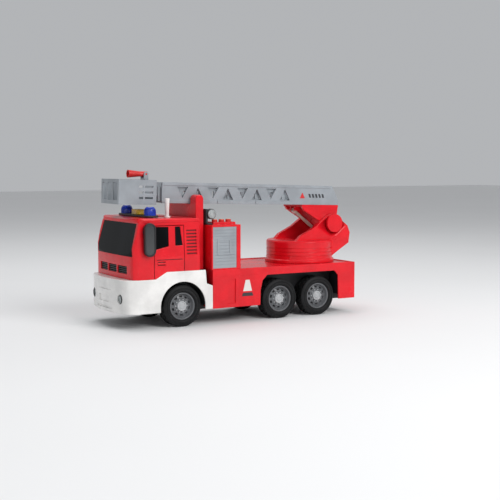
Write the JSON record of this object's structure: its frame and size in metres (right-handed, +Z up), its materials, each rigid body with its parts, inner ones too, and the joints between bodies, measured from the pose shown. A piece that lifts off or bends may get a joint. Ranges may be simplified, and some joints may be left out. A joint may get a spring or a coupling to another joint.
{
  "type": "toy fire engine",
  "caption": "Free-wheeling toy fire engine with a friction motor, a slewing raising and extending ladder, a tilting rescue basket with a water monitor, and press buttons on an equipment tower.",
  "frame": {"origin": "middle of the toy's box, on the floor under the wheels", "axes": "+X towards the bumper, +Y to the toy's left side, +Z up"},
  "size_m": [0.356, 0.132, 0.1959],
  "materials": {
    "red_abs": "bright red gloss moulding",
    "white_abs": "white gloss moulding",
    "black_abs": "black satin moulding",
    "smoked_window": "smoked gloss window moulding",
    "grey_abs": "light grey satin moulding",
    "amber_lens": "amber tinted lens",
    "blue_lens": "blue tinted lens",
    "red_lens": "dark red lens",
    "clear_lens": "pale lens",
    "red_button": "red button moulding",
    "circuit_board": "green circuit board",
    "battery": "plain battery sleeve",
    "steel": "bright steel",
    "gear_nylon": "natural nylon",
    "tyre": "black rubber",
    "rim_grey": "dark grey satin moulding"
  },
  "bodies": {
    "chassis": {"chassis": "black_abs", "front_bumper": "white_abs", "cab_shell": "red_abs", "window_insert": "smoked_window", "front_grille": "black_abs", "headlights": "black_abs", "mirror_left": "black_abs", "mirror_right": "black_abs", "light_bar_base": "black_abs", "amber_lens": "amber_lens", "blue_lens_left": "blue_lens", "blue_lens_right": "blue_lens", "roof_horn": "white_abs", "ladder_rest": "red_abs", "rear_body": "red_abs", "arch_liners": "black_abs", "tail_lamps": "red_lens", "equipment_tower": "red_abs", "shutter_left": "grey_abs", "shutter_right": "grey_abs", "search_lamp_bracket": "black_abs", "search_lamp_lens": "clear_lens", "sound_board": "circuit_board", "speaker": "black_abs", "batteries": "battery", "battery_cover": "black_abs", "body_screws": "steel", "gearbox_frame": "black_abs"},
    "front_wheels": {"front_axle": "steel", "tyre_1_left": "tyre", "tyre_1_right": "tyre", "rim_1_left": "rim_grey", "rim_1_right": "rim_grey"},
    "driven_wheels": {"rear_axle_front": "steel", "axle_gear": "gear_nylon", "tyre_2_left": "tyre", "tyre_2_right": "tyre", "rim_2_left": "rim_grey", "rim_2_right": "rim_grey"},
    "rear_wheels": {"rear_axle_back": "steel", "tyre_3_left": "tyre", "tyre_3_right": "tyre", "rim_3_left": "rim_grey", "rim_3_right": "rim_grey"},
    "gear_cluster": {"gear_cluster": "gear_nylon"},
    "flywheel": {"flywheel": "steel"},
    "turntable": {"turntable": "red_abs"},
    "ladder": {"ladder_base_section": "grey_abs", "ladder_cradle": "red_abs", "pivot_pin": "red_abs"},
    "ladder_fly": {"ladder_fly_section": "grey_abs"},
    "strut_cylinder": {"strut_cylinder": "red_abs"},
    "strut_rod": {"strut_rod": "grey_abs"},
    "basket": {"basket": "grey_abs"},
    "monitor_base": {"monitor_base": "grey_abs"},
    "monitor_nozzle": {"monitor_nozzle": "red_button"},
    "button_1": {"button_1": "red_button"},
    "button_2": {"button_2": "red_button"},
    "button_3": {"button_3": "red_button"},
    "power_switch": {"power_switch": "white_abs"}
  },
  "joints": [
    {"name": "front_axle_spin", "type": "hinge", "parent": "chassis", "child": "front_wheels", "pos_m": [0.096, 0, 0.026], "axis": [0, 1, 0], "continuous": true},
    {"name": "driven_axle_spin", "type": "hinge", "parent": "chassis", "child": "driven_wheels", "pos_m": [-0.047, 0, 0.026], "axis": [0, 1, 0], "continuous": true},
    {"name": "rear_axle_spin", "type": "hinge", "parent": "chassis", "child": "rear_wheels", "pos_m": [-0.107, 0, 0.026], "axis": [0, 1, 0], "continuous": true},
    {"name": "gear_cluster_spin", "type": "hinge", "parent": "chassis", "child": "gear_cluster", "pos_m": [-0.03908, 0, 0.03392], "axis": [0, 1, 0], "continuous": true},
    {"name": "flywheel_spin", "type": "hinge", "parent": "chassis", "child": "flywheel", "pos_m": [-0.02856, 0, 0.03775], "axis": [0, 1, 0], "continuous": true},
    {"name": "turntable_turn", "type": "hinge", "parent": "chassis", "child": "turntable", "pos_m": [-0.114, 0, 0.0695], "axis": [0, 0, 1], "continuous": true},
    {"name": "ladder_raise", "type": "hinge", "parent": "turntable", "child": "ladder", "pos_m": [-0.15, 0, 0.1215], "axis": [0, -1, 0], "range_deg": [0, 50]},
    {"name": "fly_extend", "type": "slide", "parent": "ladder", "child": "ladder_fly", "axis": [0.9996, 0, 0.0297], "range_m": [0, 0.1]},
    {"name": "basket_tilt", "type": "hinge", "parent": "ladder_fly", "child": "basket", "pos_m": [0.11438, 0, 0.15986], "axis": [0, 1, 0], "range_deg": [-15, 15]},
    {"name": "monitor_turn", "type": "hinge", "parent": "basket", "child": "monitor_base", "pos_m": [0.12089, 0, 0.18321], "axis": [-0.0297, 0, 0.9996], "range_deg": [-90, 90]},
    {"name": "monitor_tilt", "type": "hinge", "parent": "monitor_base", "child": "monitor_nozzle", "pos_m": [0.12068, 0, 0.19021], "axis": [0, -1, 0], "range_deg": [-3, 40]},
    {"name": "strut_swing", "type": "hinge", "parent": "turntable", "child": "strut_cylinder", "pos_m": [-0.15338, 0, 0.10039], "axis": [0, -1, 0], "range_deg": [0, 50]},
    {"name": "strut_slide", "type": "slide", "parent": "strut_cylinder", "child": "strut_rod", "axis": [0.7841, 0, 0.6207], "range_m": [0, 0.012]},
    {"name": "button_1_press", "type": "slide", "parent": "chassis", "child": "button_1", "axis": [0, 0, -1], "range_m": [0, 0.0015], "stiffness_N_per_m": 300},
    {"name": "button_2_press", "type": "slide", "parent": "chassis", "child": "button_2", "axis": [0, 0, -1], "range_m": [0, 0.0015], "stiffness_N_per_m": 300},
    {"name": "button_3_press", "type": "slide", "parent": "chassis", "child": "button_3", "axis": [0, 0, -1], "range_m": [0, 0.0015], "stiffness_N_per_m": 300},
    {"name": "power_switch_slide", "type": "slide", "parent": "chassis", "child": "power_switch", "axis": [1, 0, 0], "range_m": [0, 0.005]}
  ],
  "couplings": [
    {"joint": "gear_cluster_spin", "follows": "driven_axle_spin", "ratio": -3},
    {"joint": "flywheel_spin", "follows": "driven_axle_spin", "ratio": 9},
    {"joint": "strut_swing", "follows": "ladder_raise", "ratio": 0.74},
    {"joint": "strut_slide", "follows": "ladder_raise", "m_per_rad": 0.0095111}
  ]
}
